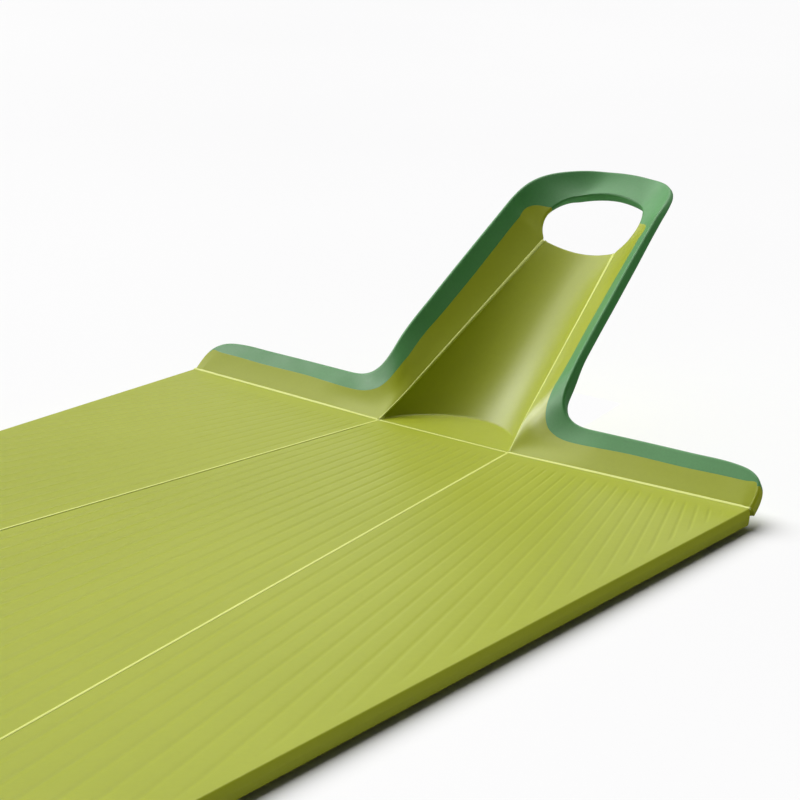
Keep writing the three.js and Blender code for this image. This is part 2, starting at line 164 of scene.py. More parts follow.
def ramp(tree, fac, stops):
    r = tree.nodes.new("ShaderNodeValToRGB")
    r.color_ramp.elements[0].position, r.color_ramp.elements[0].color = stops[0][0], (*stops[0][1], 1)
    r.color_ramp.elements[1].position, r.color_ramp.elements[1].color = stops[-1][0], (*stops[-1][1], 1)
    for pos, col in stops[1:-1]:
        r.color_ramp.elements.new(pos).color = (*col, 1)
    tree.links.new(fac, r.inputs["Fac"])
    return r.outputs["Color"]


def spread(tree, fac, lo, hi):
    m = tree.nodes.new("ShaderNodeMapRange")
    m.inputs["From Min"].default_value, m.inputs["From Max"].default_value = 0.3, 0.7
    m.inputs["To Min"].default_value, m.inputs["To Max"].default_value = lo, hi
    tree.links.new(fac, m.inputs["Value"])
    return m.outputs["Result"]


def bumped(tree, bsdf, layers):
    normal = None
    for height, strength, distance in layers:
        b = tree.nodes.new("ShaderNodeBump")
        b.inputs["Strength"].default_value = strength
        b.inputs["Distance"].default_value = distance
        tree.links.new(height, b.inputs["Height"])
        if normal is not None:
            tree.links.new(normal, b.inputs["Normal"])
        normal = b.outputs["Normal"]
    tree.links.new(normal, bsdf.inputs["Normal"])


def moulded(name, dark, mid, light, rough, grain, spec):
    """Satin moulded plastic: slow shade changes from the mould flow, a fine etched grain and faint wipe marks."""
    mat, tree, bsdf = shader(name)
    co = tree.nodes.new("ShaderNodeTexCoord").outputs["Object"]
    flow = noise(tree, co, 11.0, 4.0)
    speck = noise(tree, co, 700.0, 2.0)
    base = ramp(tree, flow, [(0.3, dark), (0.5, mid), (0.72, light)])
    tint = ramp(tree, speck, [(0.25, (0.955, 0.955, 0.94)), (0.75, (1.0, 1.0, 1.0))])
    mix = tree.nodes.new("ShaderNodeMix")
    mix.data_type, mix.blend_type = "RGBA", "MULTIPLY"
    mix.inputs["Factor"].default_value = 1.0
    tree.links.new(base, mix.inputs["A"])
    tree.links.new(tint, mix.inputs["B"])
    tree.links.new(mix.outputs["Result"], bsdf.inputs["Base Color"])
    wipe = noise(tree, co, 60.0, 3.0, (1.0, 0.12, 1.0))
    tree.links.new(spread(tree, wipe, rough[0], rough[1]), bsdf.inputs["Roughness"])
    bumped(tree, bsdf, [(noise(tree, co, 2600.0, 2.0), grain, 0.00012), (noise(tree, co, 420.0, 3.0), grain * 0.6, 0.0002)])
    bsdf.inputs["IOR"].default_value = 1.49
    bsdf.inputs["Specular IOR Level"].default_value = spec
    return mat


def soft_touch(name, dark, mid, light):
    """Soft elastomer: a velvety sheen, an even fine tooth and slight shade changes."""
    mat, tree, bsdf = shader(name)
    co = tree.nodes.new("ShaderNodeTexCoord").outputs["Object"]
    base = ramp(tree, noise(tree, co, 26.0, 4.0), [(0.3, dark), (0.5, mid), (0.72, light)])
    tint = ramp(tree, noise(tree, co, 1500.0, 2.0), [(0.25, (0.9, 0.9, 0.9)), (0.75, (1.0, 1.0, 1.0))])
    mix = tree.nodes.new("ShaderNodeMix")
    mix.data_type, mix.blend_type = "RGBA", "MULTIPLY"
    mix.inputs["Factor"].default_value = 1.0
    tree.links.new(base, mix.inputs["A"])
    tree.links.new(tint, mix.inputs["B"])
    tree.links.new(mix.outputs["Result"], bsdf.inputs["Base Color"])
    tree.links.new(spread(tree, noise(tree, co, 140.0, 3.0), 0.42, 0.52), bsdf.inputs["Roughness"])
    bumped(tree, bsdf, [(noise(tree, co, 3200.0, 2.0), 0.10, 0.00012), (noise(tree, co, 500.0, 2.0), 0.05, 0.0002)])
    bsdf.inputs["IOR"].default_value = 1.5
    bsdf.inputs["Specular IOR Level"].default_value = 0.35
    bsdf.inputs["Sheen Weight"].default_value = 0.08
    bsdf.inputs["Sheen Roughness"].default_value = 0.45
    return mat


LIME = moulded("lime_plastic", (0.326, 0.373, 0.008), (0.340, 0.386, 0.010), (0.354, 0.400, 0.013), (0.34, 0.40), 0.08, 0.29)
PALE = moulded("hinge_plastic", (0.62, 0.68, 0.15), (0.66, 0.72, 0.17), (0.70, 0.75, 0.20), (0.36, 0.44), 0.04, 0.35)
GREEN = soft_touch("soft_green", (0.053, 0.242, 0.055), (0.058, 0.260, 0.060), (0.065, 0.280, 0.067))
FOOT = soft_touch("foot_green", (0.036, 0.130, 0.046), (0.041, 0.145, 0.052), (0.047, 0.160, 0.058))


# ------------------------------------------------------------------ meshes
def area_normals(points, faces):
    n = np.zeros_like(points)
    for size in {len(f) for f in faces}:
        f = np.array([g for g in faces if len(g) == size])
        q = points[f]
        if size == 3:
            c = np.cross(q[:, 1] - q[:, 0], q[:, 2] - q[:, 0])
        else:
            c = np.zeros((len(f), 3))
            for i in range(1, size - 1):
                c += np.cross(q[:, i] - q[:, 0], q[:, i + 1] - q[:, 0])
        for i in range(size):
            np.add.at(n, f[:, i], c)
    return unit(n)


def make(name, points, faces, material, normals=None):
    """An object from crease-frame points. Points that coincide are joined, and unused ones are dropped."""
    points = np.asarray(points, float)
    if normals is None:
        normals = area_normals(points, faces)
    keep, index = {}, {}
    clean = []
    for f in faces:
        g = []
        for v in f:
            if v not in index:
                key = tuple(np.round(points[v], 4)) + tuple(np.round(normals[v], 1))
                index[v] = keep.setdefault(key, (len(keep), v))[0]
            if index[v] not in g:
                g.append(index[v])
        if len(g) > 2:
            clean.append(g)
    used = [v for _, v in keep.values()]
    mesh = bpy.data.meshes.new(name)
    mesh.from_pydata(to_row(points[used]).tolist(), [], clean)
    mesh.polygons.foreach_set("use_smooth", [True] * len(mesh.polygons))
    mesh.update()
    mesh.normals_split_custom_set_from_vertices(normals[used].tolist())
    mesh.materials.append(material)
    ob = bpy.data.objects.new(name, mesh)
    bpy.context.scene.collection.objects.link(ob)
    return ob


def flip(points):
    return np.asarray(points, float) * [-1, 1, 1]


def both(name, points, faces, material, normals=None):
    """The right-hand piece and its mirror image: {"right": object, "left": object}."""
    points = np.asarray(points, float)
    if normals is None:
        normals = area_normals(points, faces)
    return {
        "right": make(f"right_{name}", points, faces, material, normals),
        "left": make(f"left_{name}", flip(points), [tuple(reversed(f)) for f in faces], material, flip(normals)),
    }


def grid(rows, cols, start=0, close=False):
    """Quads of a grid of points stored row by row."""
    out = []
    for r in range(rows - 1):
        for c in range(cols if close else cols - 1):
            d = (c + 1) % cols
            out.append((start + r * cols + c, start + r * cols + d, start + (r + 1) * cols + d, start + (r + 1) * cols + c))
    return out


def facing(points, faces, towards):
    """The faces turned so that the first big one looks along `towards`."""
    p = np.asarray(points)
    total = np.zeros(3)
    for f in faces:
        q = p[list(f)]
        total += np.cross(q[1] - q[0], q[2] - q[0])
    return faces if total @ np.asarray(towards, float) > 0 else [tuple(reversed(f)) for f in faces]


# ------------------------------------------------------------------ board panels with their ribs
STEP = math.radians(0.9)
GROOVE_D, GROOVE_W = 0.13, 0.24
PHASES = [-0.5, -0.3, -0.2, -0.15, -0.11, -0.07, -0.035, 0.0, 0.035, 0.07, 0.11, 0.15, 0.2, 0.3]
# Edge profiles from the top face down: (inset of an outer edge, inset of a hinge edge, height).
EDGE = [
    (0.95, GAP, 0.0),
    (0.80, GAP, -0.04),
    (0.64, GAP + 0.02, -0.16),
    (0.50, GAP + 0.08, -0.42),
    (0.28, GAP + 0.25, -1.22),
    (0.14, GAP + 0.4, -1.72),
    (0.03, GAP + 0.6, -2.15),
    (0.0, GAP + 0.7, -2.5),
    (0.0, GAP + 1.1, -4.15),
    (0.10, GAP + 1.25, -4.5),
    (0.26, GAP + 1.3, -4.71),
    (0.55, GAP + 1.35, -THICK),
]
ROWS_BACK = [GAP, 1.5, 3.0, 4.6, 5.4, 6.2, 7.0, 7.8, 8.6, 9.6, 13.0]
ROWS_END = [0.95, 2.3, 3.3, 3.8, 4.3, 4.8, 5.3, 5.8, 6.4, 8.0, 11.0]
MIDDLE = 6


def groove(theta, back, edge):
    phase = np.abs((theta / STEP) % 1.0 - 0.5)
    depth = np.where(phase < GROOVE_W, 0.5 * (1 + np.cos(np.pi * phase / GROOVE_W)), 0.0)
    return GROOVE_D * depth * smooth(4.6, 9.2, back) * smooth(3.4, 6.2, edge)


def cross_lines(p, d, q, e):
    """Where p + s d meets q + t e."""
    det = d[0] * e[1] - d[1] * e[0]
    s = ((q[0] - p[0]) * e[1] - (q[1] - p[1]) * e[0]) / det
    return np.array([p[0] + d[0] * s, p[1] + d[1] * s])


def ray(theta):
    return np.array([math.sin(theta), -math.cos(theta)])


def panel_mesh(columns, back_at, end_at, distance, ring):
    """A ribbed panel. columns: the angles of its rows of points; back_at(column, inset) and end_at(column, inset) give
    the points of a column near the cross crease and near the outer edge; ring(levels) gives the edge loops."""
    top = []
    for c in columns:
        lo, hi = 0.0, 1.0
        span = lambda s: (
            back_at(c, ROWS_BACK[0] + (ROWS_BACK[-1] - ROWS_BACK[0]) * s),
            end_at(c, ROWS_END[0] + (ROWS_END[-1] - ROWS_END[0]) * s),
        )
        first, last = span(0.0)
        way = last - first
        for _ in range(24):
            s = (lo + hi) / 2
            b, e = span(s)
            if (e - b) @ way > 0.2 * (way @ way) * s:
                lo = s
            else:
                hi = s
        s = lo
        rows = [back_at(c, ROWS_BACK[0] + (v - ROWS_BACK[0]) * s) for v in ROWS_BACK]
        tail = [end_at(c, ROWS_END[0] + (v - ROWS_END[0]) * s) for v in ROWS_END]
        for i in range(1, MIDDLE):
            rows.append(rows[len(ROWS_BACK) - 1] + (tail[-1] - rows[len(ROWS_BACK) - 1]) * i / MIDDLE)
        rows += tail[::-1]
        top.append(rows)
    top = np.array(top)
    count = top.shape[1]
    theta = np.arctan2(top[..., 0], APEX - top[..., 1])
    back, edge = distance(top)
    z = -groove(theta, back, edge)
    points = np.concatenate([top, z[..., None]], -1).reshape(-1, 3)
    faces = facing(points, grid(len(columns), count), (0, 0, 1))
    n = len(columns)
    border = [j * count for j in range(n)]
    border += [(n - 1) * count + k for k in range(1, count)]
    border += [j * count + count - 1 for j in range(n - 2, -1, -1)]
    border += [k for k in range(count - 2, 0, -1)]
    loops = ring(points[border][:, :2])
    m = len(border)
    rim = [border]
    for (_, _, height), loop in zip(EDGE[1:], loops[1:]):
        start = len(points)
        points = np.concatenate([points, np.c_[loop, np.full(m, height)]])
        rim.append(list(range(start, start + m)))
    turn = [(rim[l][i], rim[l][(i + 1) % m], rim[l + 1][(i + 1) % m], rim[l + 1][i]) for l in range(len(rim) - 1) for i in range(m)]
    centre = points[border].mean(0)
    f = turn[len(turn) // 2]
    q = points[list(f)]
    if np.cross(q[1] - q[0], q[2] - q[0]) @ ((q.mean(0) - centre) * [1, 1, 0]) < 0:
        turn = [tuple(reversed(g)) for g in turn]
    floor = facing(points, [tuple(rim[-1])], (0, 0, -1))
    return points, faces + turn + floor


def on_edges(top_points, corners_at, pieces_at):
    """Edge loops: each border point keeps its share of the way along its own edge while the corners move."""
    loops = []
    for outer, hinge, _ in EDGE:
        loops.append(np.array([pieces_at(p, outer, hinge) for p in top_points]))
    return loops


V = np.array([VX, 0.0])
FOLD_DIR = np.array([SB, -CB])
FOLD_IN = np.array([CB, SB])  # from the right fold line into the right panel
BACK_IN = np.array([BACK[1], -BACK[0]])  # from the right cross crease into the right panel


def side_corner(kind, outer, hinge):
    fold_p, back_p = V + FOLD_IN * hinge, V + BACK_IN * hinge
    if kind == "vertex":
        return cross_lines(fold_p, FOLD_DIR, back_p, BACK)
    if kind == "front":
        return cross_lines(fold_p, FOLD_DIR, (0, FRONT + outer), (1, 0))
    return cross_lines(back_p, BACK, (EDGE_W - outer, 0), (0, 1))


CENTRE_C = np.array([EDGE_W - CORNER_R, FRONT + CORNER_R])
TOP_O, TOP_H = EDGE[0][0], EDGE[0][1]


def side_border(p, outer, hinge):
    vertex0, front0, outer0 = (side_corner(k, TOP_O, TOP_H) for k in ("vertex", "front", "outer"))
    vertex1, front1, outer1 = (side_corner(k, outer, hinge) for k in ("vertex", "front", "outer"))
    near = {
        "fold": abs((p - vertex0) @ FOLD_IN),
        "back": abs((p - vertex0) @ BACK_IN),
        "front": abs(p[1] - (FRONT + TOP_O)),
        "side": abs(p[0] - (EDGE_W - TOP_O)),
    }
    if p[0] > CENTRE_C[0] and p[1] < CENTRE_C[1]:
        d = p - CENTRE_C
        return CENTRE_C + d / np.hypot(*d) * (CORNER_R - outer)
    kind = min(near, key=near.get)
    a0, b0, a1, b1 = {
        "fold": (vertex0, front0, vertex1, front1),
        "back": (vertex0, outer0, vertex1, outer1),
        "front": (front0, np.array([CENTRE_C[0], FRONT + TOP_O]), front1, np.array([CENTRE_C[0], FRONT + outer])),
        "side": (outer0, np.array([EDGE_W - TOP_O, CENTRE_C[1]]), outer1, np.array([EDGE_W - outer, CENTRE_C[1]])),
    }[kind]
    t = np.clip((p - a0) @ (b0 - a0) / ((b0 - a0) @ (b0 - a0)), 0, 1)
    return a1 + (b1 - a1) * t


def side_end(theta, inset):
    d, o = ray(theta), np.array([0.0, APEX])
    r = min((APEX - (FRONT + inset)) / -d[1], (EDGE_W - inset) / max(d[0], 1e-9))
    p = o + d * r
    if p[0] > CENTRE_C[0] and p[1] < CENTRE_C[1]:
        rho = max(CORNER_R - inset, 0.05)
        b = (CENTRE_C - o) @ d
        disc = b * b - ((CENTRE_C - o) @ (CENTRE_C - o) - rho * rho)
        if disc > 0:
            p = o + d * (b + math.sqrt(disc))
    return p


def angles(lo, hi):
    out = []
    for i in range(int(lo / STEP) - 1, int(hi / STEP) + 2):
        out += [(i + 0.5 + p) * STEP for p in PHASES]
    return sorted(t for t in out if lo < t < hi)


last = side_corner("outer", TOP_O, TOP_H)
theta_last = math.atan2(last[0], APEX - last[1])
side_columns = ["fold", "lip"] + angles(math.radians(7.45), theta_last - 2e-4) + ["last"]


def side_back_at(c, inset):
    p, d = V + BACK_IN * inset, BACK
    if c == "last":
        return last
    if c in ("fold", "lip"):
        return cross_lines(p, d, V + FOLD_IN * (TOP_H if c == "fold" else 1.3), FOLD_DIR)
    return cross_lines(p, d, (0, APEX), ray(c))


def side_end_at(c, inset):
    if c == "last":
        return last
    if c in ("fold", "lip"):
        return cross_lines((0, FRONT + inset), (1, 0), V + FOLD_IN * (TOP_H if c == "fold" else 1.3), FOLD_DIR)
    return side_end(c, inset)


def side_distance(p):
    back = (p - V) @ BACK_IN
    edge = np.minimum(EDGE_W - p[..., 0], p[..., 1] - FRONT)
    return back, edge


points, faces = panel_mesh(
    side_columns, side_back_at, side_end_at, side_distance, lambda top: on_edges(top, None, side_border)
)
skin = both("panel_skin", points, faces, LIME)
for side, ob in skin.items():
    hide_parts(f"{side}_panel")
    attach(ob, f"{side}_side")


def centre_line(c, hinge):
    """The fold edge of the middle panel on the side of sign c."""
    return np.array([c * (VX - CB * hinge), -SB * hinge]), np.array([c * SB, -CB])


def centre_border(p, outer, hinge):
    sign = 1.0 if p[0] > 0 else -1.0

    def corner(c, o, h, y_back):
        q, d = centre_line(c, h)
        return cross_lines(q, d, (0, -h if y_back else FRONT + o), (1, 0))

    near = {
        "back": abs(p[1] + TOP_H),
        "front": abs(p[1] - FRONT - TOP_O),
        "fold": abs((p - centre_line(sign, TOP_H)[0]) @ np.array([CB * sign, SB])),
    }
    kind = min(near, key=near.get)
    if kind == "fold":
        a0, b0 = corner(sign, TOP_O, TOP_H, True), corner(sign, TOP_O, TOP_H, False)
        a1, b1 = corner(sign, outer, hinge, True), corner(sign, outer, hinge, False)
    else:
        k = kind == "back"
        a0, b0 = corner(-1, TOP_O, TOP_H, k), corner(1, TOP_O, TOP_H, k)
        a1, b1 = corner(-1, outer, hinge, k), corner(1, outer, hinge, k)
    t = np.clip((p - a0) @ (b0 - a0) / ((b0 - a0) @ (b0 - a0)), 0, 1)
    return a1 + (b1 - a1) * t


def centre_at(c, y):
    if isinstance(c, str):
        sign = 1.0 if c[0] == "r" else -1.0
        q, d = centre_line(sign, TOP_H if c[1:] == "fold" else 1.3)
        return cross_lines(q, d, (0, y), (1, 0))
    return cross_lines((0, y), (1, 0), (0, APEX), ray(c))


centre_columns = ["lfold", "llip"] + angles(-math.radians(6.3), math.radians(6.3)) + ["rlip", "rfold"]
points, faces = panel_mesh(
    centre_columns,
    lambda c, inset: centre_at(c, -inset),
    lambda c, inset: centre_at(c, FRONT + inset),
    lambda p: (-p[..., 1], p[..., 1] - FRONT),
    lambda top: on_edges(top, None, centre_border),
)
ob = make("centre_panel_skin", points, faces, LIME)
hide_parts("centre_panel")
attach(ob, "centre")

# ------------------------------------------------------------------ feet
FOOT_PROFILE = [(0, -6.5), (2.2, -6.5), (2.45, -6.42), (2.7, -6.5), (3.6, -6.5), (4.15, -6.42), (4.6, -6.2), (4.85, -5.8), (4.95, -5.3), (5.0, -4.62), (4.9, -4.5), (0.0, -4.45)]


def foot(name, node, x, y, body):
    seg = 48
    t = np.arange(seg) * 2 * math.pi / seg
    pts = np.array([[x + r * math.cos(a), y + r * math.sin(a), z] for r, z in FOOT_PROFILE for a in t])
    f = grid(len(FOOT_PROFILE), seg, close=True)
    q = pts[list(f[4 * seg])]
    ob = make(name, pts, f if np.cross(q[1] - q[0], q[2] - q[0]) @ (q.mean(0) - [x, y, -5.5]) > 0 else [tuple(reversed(g)) for g in f], FOOT)
    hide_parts(node)
    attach(ob, body)


for sx, side in ((-1, "left"), (1, "right")):
    foot(f"{side}_centre_back_foot_skin", f"centre_foot_back_{side}", sx * 13, -16, "centre")
    foot(f"{side}_centre_front_foot_skin", f"centre_foot_front_{side}", sx * 44, -262, "centre")
    for place, x, y in (("back", 93, -10), ("middle", 93, -136), ("front", 90, -260)):
        foot(f"{side}_{place}_foot_skin", f"{side}_foot_{place}", sx * x, y, f"{side}_side")

# ------------------------------------------------------------------ rim of the handle: base strips, wings and arch
# Each station: where it is along the creases (or the hole's edge), its point on the rim, and the share of the way out
# at which the soft band starts.
def side_crease_p(x):
    return -(x - VX) / BACK[0]


INSET = 0.7  # the handle creases' beads lie this far inside the line through the crease points


def half_at(a):
    return VX - a * TB - INSET * float(smooth(0.0, 14.0, a))


STATIONS = [
    (side_crease_p(102.6), (105.5, 3.8, -2.35), 1.0),
    (side_crease_p(102.55), (105.55, 5.3, -2.2), 1.0),
    (side_crease_p(102.5), (105.55, 7.2, -2.0), 1.0),
    (side_crease_p(102.4), (105.3, 9.4, -1.7), 1.0),
    (side_crease_p(102.2), (104.75, 11.8, -1.3), 1.0),
    (side_crease_p(101.7), (102.6, 14.3, -0.75), 0.765),
    (side_crease_p(100.3), (99.3, 15.9, -0.35), 0.67),
    (side_crease_p(97.5), (95.0, 16.5, -0.15), 0.64),
    (side_crease_p(80.0), (79.3, 16.4, 0.15), 0.605),
    (side_crease_p(62.0), (62.0, 16.1, 0.4), 0.615),
    (side_crease_p(48.0), (49.2, 15.65, 0.75), 0.59),
    (side_crease_p(37.0), (42.7, 15.45, 1.0), 0.615),
    (side_crease_p(30.5), (40.2, 15.65, 1.25), 0.64),
    (side_crease_p(25.8), (38.6, 16.15, 1.6), 0.66),
    (1.1 / CB, (35.4, 18.4, 3.05), 0.66),
    (3.5 / CB, (34.25, 20.2, 4.1), 0.69),
    (8.0 / CB, (33.2, 23.8, 5.5), 0.70),
    (15.0 / CB, (32.7, 28.2, 6.7), 0.655),
    (24.0 / CB, (31.95, 34.3, 7.7), 0.645),
    (38.0 / CB, (30.77, 46.6, 8.43), 0.62),
    (54.0 / CB, (29.68, 60.4, 9.07), 0.61),
    (71.0 / CB, (28.39, 75.5, 9.73), 0.63),
    (86.0 / CB, (27.42, 88.9, 10.11), 0.65),
]
HOLE = np.array(
    [
        (VX - HOLE_A * TB - INSET, HOLE_A, 0.0),
        (15.6, 90.5, 1.25),
        (16.65, 94.6, 2.1),
        (16.7, 97.2, 2.3),
        (16.35, 99.5, 2.2),
        (15.1, 103.3, 1.75),
        (13.4, 106.4, 1.0),
        (11.9, 108.45, 0.25),
        (10.2, 109.7, 0.0),
        (6.0, 111.2, 0.0),
        (0.0, 112.0, 0.0),
        (-6.0, 111.2, 0.0),
        (-10.2, 109.7, 0.0),
    ]
)
P_HOLE = HOLE_A / CB
hole_p = P_HOLE + np.r_[0, np.cumsum(np.linalg.norm(np.diff(HOLE, axis=0), axis=1))]
HOLE_STATIONS = [
    ((27.08, 93.4, 10.27), 0.62, 1),
    ((26.55, 97.6, 10.17), 0.48, 2),
    ((26.25, 100.4, 9.84), 0.28, 3),
    ((25.7, 103.6, 9.15), 0.0, 4),
    ((23.85, 109.6, 7.1), 0.0, 5),
    ((19.6, 115.9, 4.0), 0.0, 6),
    ((10.65, 121.9, 0.4), 0.0, 7),
    ((9.0, 122.25, 0.1), 0.0, 8),
    ((5.4, 122.95, -0.1), 0.0, 9),
    ((0.0, 123.3, -0.2), 0.0, 10),
    ((-5.4, 122.95, -0.1), 0.0, 11),
    ((-9.0, 122.25, 0.1), 0.0, 12),
]
for to, band, k in HOLE_STATIONS:
    STATIONS.append((hole_p[k], to, band))
rim_at = np.array([s[1] for s in STATIONS])
way = np.r_[0, np.cumsum(np.linalg.norm(np.diff(rim_at, axis=0), axis=1))]
mid_index = [i for i, s in enumerate(STATIONS) if abs(s[1][0]) < 1e-9][0]
STEP_S = way[mid_index] / 260
samples = np.arange(0, 260 + 22) * STEP_S
samples = samples[samples < way[-1]]
R = soften(hermite(way, rim_at, samples, False), 2.6)
R[260, 0] = 0.0
P = soften(hermite(way, [s[0] for s in STATIONS], samples, True), 2.0)
BAND = soften(hermite(way, [s[2] for s in STATIONS], samples, True), 1.6)
hole_curve_s = np.linspace(hole_p[0], hole_p[-1], 200)
hole_curve = soften(hermite(hole_p, HOLE, hole_curve_s, False), 2.0)


def crease_at(p):
    if p < 0:
        y = -p * BACK[1]
        return np.array([VX - p * BACK[0], y * CT, -y * ST])
    if p <= P_HOLE:
        a = p * CB
        return np.array([half_at(a), a, 0.0])
    return np.array([np.interp(p, hole_curve_s, hole_curve[:, i]) for i in range(3)])


N_S = 261
C = np.array([crease_at(p) for p in P])
TAN = unit(np.gradient(R, axis=0))
inner = np.array([crease_at(max(p, side_crease_p(96.0))) for p in P])
NORMAL = unit(np.cross(TAN, R - inner))
NORMAL *= np.sign(NORMAL[:, 2:3])
NORMAL = unit(soften(NORMAL, 2.0))
OUT = unit(np.cross(NORMAL, TAN))
OUT *= np.sign(np.sum(OUT * (R - inner), 1, keepdims=True))
NORMAL[260, 0] = OUT[260, 0] = 0.0
NORMAL, OUT = unit(NORMAL), unit(OUT)
seam_s = (way[13] + way[14]) / 2
I_SEAM = int(round(seam_s / STEP_S))
I_ARCH = int(round((way[26] - 0.6) / STEP_S))
I_GRIP = int(round((way[4] - 0.6) / STEP_S))
is_wing = smooth(seam_s - 6, seam_s + 12, samples)
is_arch = smooth(way[23], way[27], samples)
DISH = 0.28 + 0.27 * is_wing + 0.3 * smooth(way[19], way[22], samples) - 0.3 * is_arch
DISH *= smooth(0, 26, samples)
# Round the concave corner the sheet stays flat beside the crease and turns up further out.
order = np.arange(len(samples))
UPTURN = soften(1.7 * smooth(80, 95, order) * (1 - smooth(100, 118, order)) * (R[:, 2] - C[:, 2]), 2.5)


def upturn(x):
    k = lambda v: v - 0.4 + math.hypot(v - 0.4, 0.2)
    return x - (k(x) - k(0.0)) / (k(1.0) - k(0.0))


RIM_R = 0.95
# Height of the rim's outer wall: thickest round the concave corner.
RIM_T = np.interp(samples, way[[10, 13, 14, 16, 17, 18, 21, 22, 25, 27]], [2.05, 3.4, 4.9, 5.0, 3.8, 3.1, 3.2, 2.8, 2.65, 2.3])
RIM_T = soften(RIM_T, 3.0)
N_LIME, N_BAND = 10, 8
RIM_ARC = [math.radians(v) for v in (18, 36, 54, 72, 90)]


def section(i):
    """One closed outline of the shell at sample i, in handle coordinates, and the number of points in each stretch."""
    c, r, out, nor = C[i], R[i], OUT[i], NORMAL[i]
    span = np.linalg.norm(r - c)
    key = r - out * (0.42 * span)
    t = np.linspace(0, 1, 33)[:, None]
    curve = (1 - t) ** 2 * c + 2 * t * (1 - t) * key + t * t * r
    length = np.r_[0, np.cumsum(np.linalg.norm(np.diff(curve, axis=0), axis=1))]
    L = length[-1]
    free = float(smooth(P_HOLE - 1.2, P_HOLE + 1.6, P[i]))
    lobe = 1 - float(smooth(way[4], way[6], samples[i]))
    far = float(np.clip((c[0] - 40) / 60, 0, 1)) if P[i] < 0 else 0.0
    wall = SHELL + LOBE * far
    rim_t = RIM_T[i] + (4.4 - RIM_T[i]) * lobe
    edge_t = 2.4 + 0.9 * float(is_arch[i])
    rr = min(RIM_R, 0.3 * L)
    e0 = GAP * (1 - free) + 0.75 * free
    e1 = min(1.5 * (1 - free) + 0.8 * free, 0.6 * L)
    b = np.clip(BAND[i] * L, e0 + 0.05, L - rr - 0.05)
    g = float(smooth(0.5, 1.6, b - e0) * smooth(0.3, 1.0, L - rr - b))

    def top(u, w=0.0):
        p = np.array([np.interp(u, length, curve[:, k]) for k in range(3)])
        x = u / L
        return p + nor * (w - DISH[i] * 4 * x * (1 - x) - UPTURN[i] * upturn(x))

    def beyond(du, w):
        x = 1 + du / L
        return r + out * du + nor * (w - DISH[i] * 4 * x * (1 - x) - UPTURN[i] * upturn(x))

    def under(u):
        k = float(np.clip((u - e1) / max(L - 1.7 - e1, 0.1), 0, 1))
        near = wall * (1 - free) + edge_t * free
        return near + (rim_t - near) * k

    pts = []
    for k in range(N_LIME + 1):
        u = e0 + 0.12 + (b - 0.16 - e0 - 0.12) * k / N_LIME if b - e0 > 0.4 else e0 + (b - e0) * 0.9 * k / N_LIME
        pts.append(top(u))
    pts.append(top(b - 0.05, -0.012 * g))
    pts.append(top(b, -0.02 * g))
    split_top = len(pts) - 1
    pts.append(top(b + 0.05, -0.012 * g))
    for k in range(N_BAND + 1):
        pts.append(top(min(b + 0.16, L - rr) + (L - rr - min(b + 0.16, L - rr)) * k / N_BAND))
    for a in RIM_ARC:
        pts.append(beyond(-rr + rr * math.sin(a), -rr * (1 - math.cos(a))))
    for du, w in ((-0.02, -rim_t + 0.8), (-0.14, -rim_t + 0.48), (-0.42, -rim_t + 0.2), (-0.9, -rim_t + 0.05), (-1.5, -rim_t)):
        pts.append(beyond(max(du, -0.5 * L), min(w, -rr - 0.05)))
    u_in = max(min(L - 2.0, L * 0.5), b)
    for k in range(1, 4):
        u = u_in + (b - u_in) * k / 3
        pts.append(top(u, -under(u)))
    split_under = len(pts) - 1
    for k in range(1, 7):
        u = b + (e1 - b) * k / 6
        pts.append(top(u, -under(u)))
    hinge = [(e1 - 0.25, -wall + 0.25), (GAP + 0.45, -wall * 0.6), (GAP + 0.12, -0.7), (GAP, -0.25), (GAP, -0.06)]
    loose = [(0.3, -edge_t + 0.22), (0.05, -edge_t + 0.7), (0.0, -edge_t / 2), (0.06, -0.62), (0.32, -0.2)]
    for (hu, hw), (fu, fw) in zip(hinge, loose):
        pts.append(top(hu + (fu - hu) * free, hw + (fw - hw) * free))
    return np.array(pts), split_top, split_under


loops, marks = [], []
for i in range(N_S):
    pts, split_top, split_under = section(i)
    loops.append(pts)
marks = (split_top, split_under)
loops = from_handle(np.array(loops))
loops[260, :, 0] = 0.0
M = loops.shape[1]
strip_points = loops.reshape(-1, 3)
strip_faces = grid(N_S, M, close=True)
# Outwards: the band's top faces up.
probe = strip_points[list(strip_faces[100 * M + split_top + 5])]
if np.cross(probe[1] - probe[0], probe[2] - probe[0])[2] < 0:
    strip_faces = [tuple(reversed(f)) for f in strip_faces]
strip_normals = area_normals(strip_points, strip_faces)
strip_normals[260 * M :, 0] = 0
strip_normals = unit(strip_normals)


def strip_part(first, last_i, soft):
    """Faces of the strip between two samples: the soft band's or the plastic's."""
    out = []
    for i in range(first, last_i):
        for c in range(M):
            band = marks[0] <= c < marks[1]
            if i < I_GRIP:
                band = False
            elif i >= I_ARCH:
                band = True
            if band == soft:
                out.append(strip_faces[i * M + c])
    return out


def with_cap(faces_in, i, columns, inwards):
    """Closes a cut at sample i with its own flat-shaded end face."""
    global strip_points, strip_normals
    ring = loops[i][columns]
    start = len(strip_points)
    n = unit(np.cross(ring[len(ring) // 3] - ring[0], ring[2 * len(ring) // 3] - ring[0]))
    direction = loops[i].mean(0) - loops[i + (1 if inwards else -1)].mean(0)
    face = list(range(start, start + len(ring)))
    if n @ direction < 0:
        n = -n
        face = face[::-1]
    strip_points = np.concatenate([strip_points, ring])
    strip_normals = np.concatenate([strip_normals, np.repeat(n[None], len(ring), 0)])
    return faces_in + [tuple(face)]


